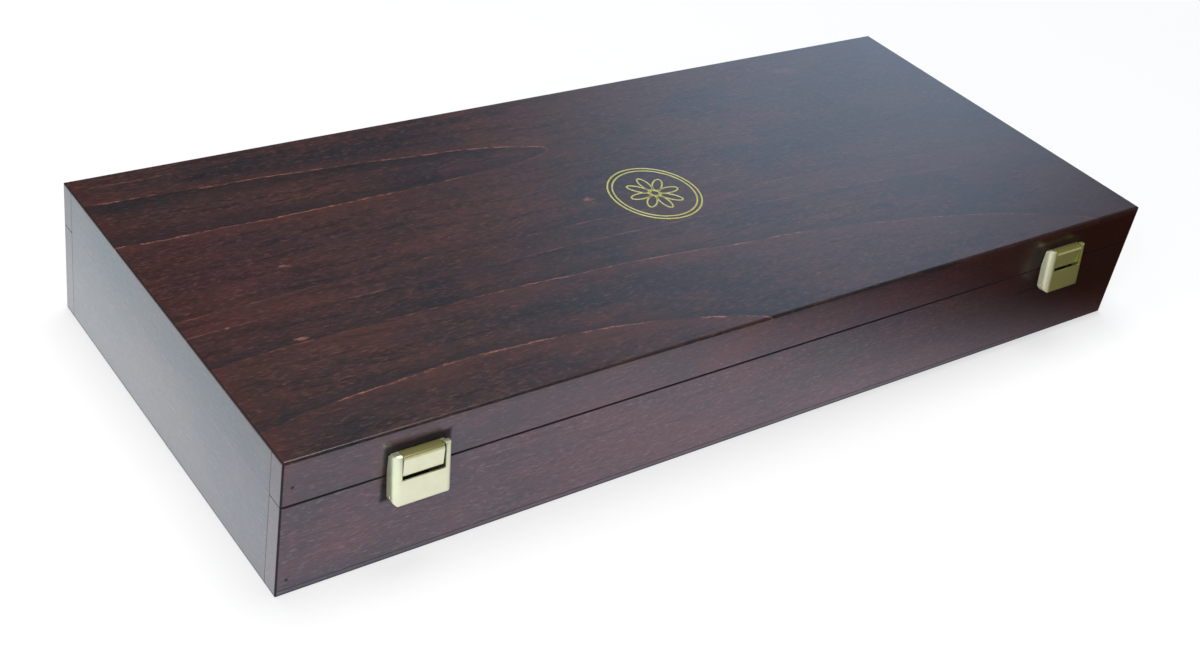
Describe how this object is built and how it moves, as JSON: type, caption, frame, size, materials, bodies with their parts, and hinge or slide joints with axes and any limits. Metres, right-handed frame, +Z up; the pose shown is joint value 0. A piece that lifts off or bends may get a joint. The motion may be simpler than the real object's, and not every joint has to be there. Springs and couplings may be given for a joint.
{
  "type": "collector box",
  "caption": "Shallow hinged case of stained wood with brass snap latches, stop hinges and a velvet-lined inside with notched rests.",
  "frame": {"origin": "middle of the case's flat underside, on the surface that it stands on", "axes": "+X along the length to the right of someone facing the latches, +Y to the hinges at the back, +Z up"},
  "size_m": [0.5, 0.2263, 0.0675],
  "materials": {
    "stained_wood": "mahogany-stained close-grained veneer under satin lacquer",
    "brass_plate": "pale satin brass plating",
    "spring_steel": "bright drawn steel",
    "velvet": "short-pile velvet"
  },
  "bodies": {
    "case": {"bottom_panel": "stained_wood", "base_front_board": "stained_wood", "base_back_board": "stained_wood", "base_left_end": "stained_wood", "base_right_end": "stained_wood", "base_brads": "spring_steel", "floor_card": "velvet", "base_wall_lining": "velvet", "front_knife_rest": "velvet", "rear_knife_rest": "velvet", "hinge_base_leaf_left": "brass_plate", "hinge_base_leaf_right": "brass_plate", "hinge_pin_left": "spring_steel", "hinge_pin_right": "spring_steel", "hinge_base_screws": "brass_plate", "latch_plate_left": "brass_plate", "latch_plate_right": "brass_plate", "latch_pin_left": "spring_steel", "latch_pin_right": "spring_steel", "latch_spring_left": "spring_steel", "latch_spring_right": "spring_steel", "latch_plate_screws": "brass_plate"},
    "lid": {"top_panel": "stained_wood", "lid_front_board": "stained_wood", "lid_back_board": "stained_wood", "lid_left_end": "stained_wood", "lid_right_end": "stained_wood", "lid_brads": "spring_steel", "lid_wall_lining": "velvet", "lid_pad": "velvet", "hinge_lid_leaf_left": "brass_plate", "hinge_lid_leaf_right": "brass_plate", "hinge_lid_screws": "brass_plate", "latch_keeper_left": "brass_plate", "latch_keeper_right": "brass_plate", "keeper_screws": "brass_plate"},
    "left_flap": {"latch_flap_left": "brass_plate", "catch_clip_left": "spring_steel"},
    "right_flap": {"latch_flap_right": "brass_plate", "catch_clip_right": "spring_steel"}
  },
  "joints": [
    {"name": "lid_hinge", "type": "hinge", "parent": "case", "child": "lid", "pos_m": [0, 0.1087, 0.046], "axis": [-1, 0, 0], "range_deg": [0, 95], "deforming": ["catch_clip_left", "catch_clip_right"]},
    {"name": "left_latch_swing", "type": "hinge", "parent": "case", "child": "left_flap", "pos_m": [-0.192, -0.11138, 0.0385], "axis": [1, 0, 0], "range_deg": [0, 30], "stiffness_Nm_per_rad": 0.004, "springref_deg": -22.92, "deforming": ["latch_spring_left"]},
    {"name": "right_latch_swing", "type": "hinge", "parent": "case", "child": "right_flap", "pos_m": [0.192, -0.11138, 0.0385], "axis": [1, 0, 0], "range_deg": [0, 30], "stiffness_Nm_per_rad": 0.004, "springref_deg": -22.92, "deforming": ["latch_spring_right"]}
  ]
}
